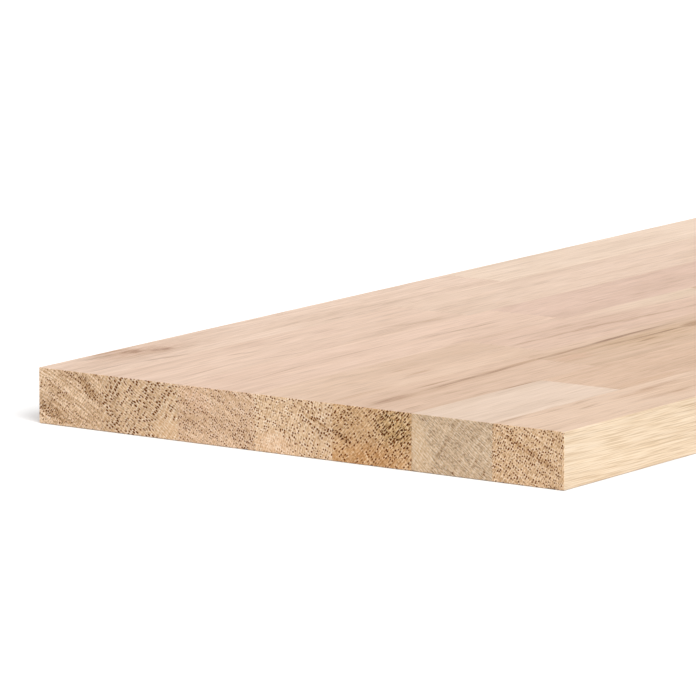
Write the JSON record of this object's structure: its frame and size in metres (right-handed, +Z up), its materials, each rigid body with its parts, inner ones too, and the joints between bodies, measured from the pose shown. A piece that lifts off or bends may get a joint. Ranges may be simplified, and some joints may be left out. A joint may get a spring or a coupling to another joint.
{
  "type": "glued laminated wood panel",
  "caption": "Flat rectangular panel of solid oak, glued up edge to edge from finger-jointed staves and planed on both faces, for shelves, steps and worktops.",
  "frame": {"origin": "middle of the underside", "axes": "+Y along the grain and the length, with the pictured end at -Y; +X across the staves; +Z up, through the thickness"},
  "size_m": [0.3, 1, 0.027],
  "materials": {
    "pale_oak": "matte",
    "light_oak": "matte",
    "pink_oak": "matte",
    "tan_oak": "matte",
    "brown_oak": "matte"
  },
  "bodies": {
    "root": {"stave_1_piece_1": "light_oak", "stave_1_piece_2": "pale_oak", "stave_1_piece_3": "tan_oak", "stave_2_piece_1": "light_oak", "stave_2_piece_2": "pale_oak", "stave_2_piece_3": "tan_oak", "stave_2_piece_4": "pink_oak", "stave_3_piece_1": "light_oak", "stave_3_piece_2": "pink_oak", "stave_3_piece_3": "pale_oak", "stave_3_piece_4": "tan_oak", "stave_4_piece_1": "tan_oak", "stave_4_piece_2": "pink_oak", "stave_4_piece_3": "brown_oak", "stave_4_piece_4": "light_oak", "stave_5_piece_1": "brown_oak", "stave_5_piece_2": "tan_oak", "stave_5_piece_3": "pale_oak", "stave_5_piece_4": "light_oak", "stave_6_piece_1": "pale_oak", "stave_6_piece_2": "tan_oak", "stave_6_piece_3": "light_oak", "stave_6_piece_4": "pink_oak", "stave_7_piece_1": "light_oak", "stave_7_piece_2": "brown_oak", "stave_7_piece_3": "light_oak", "stave_7_piece_4": "pale_oak"}
  },
  "joints": []
}
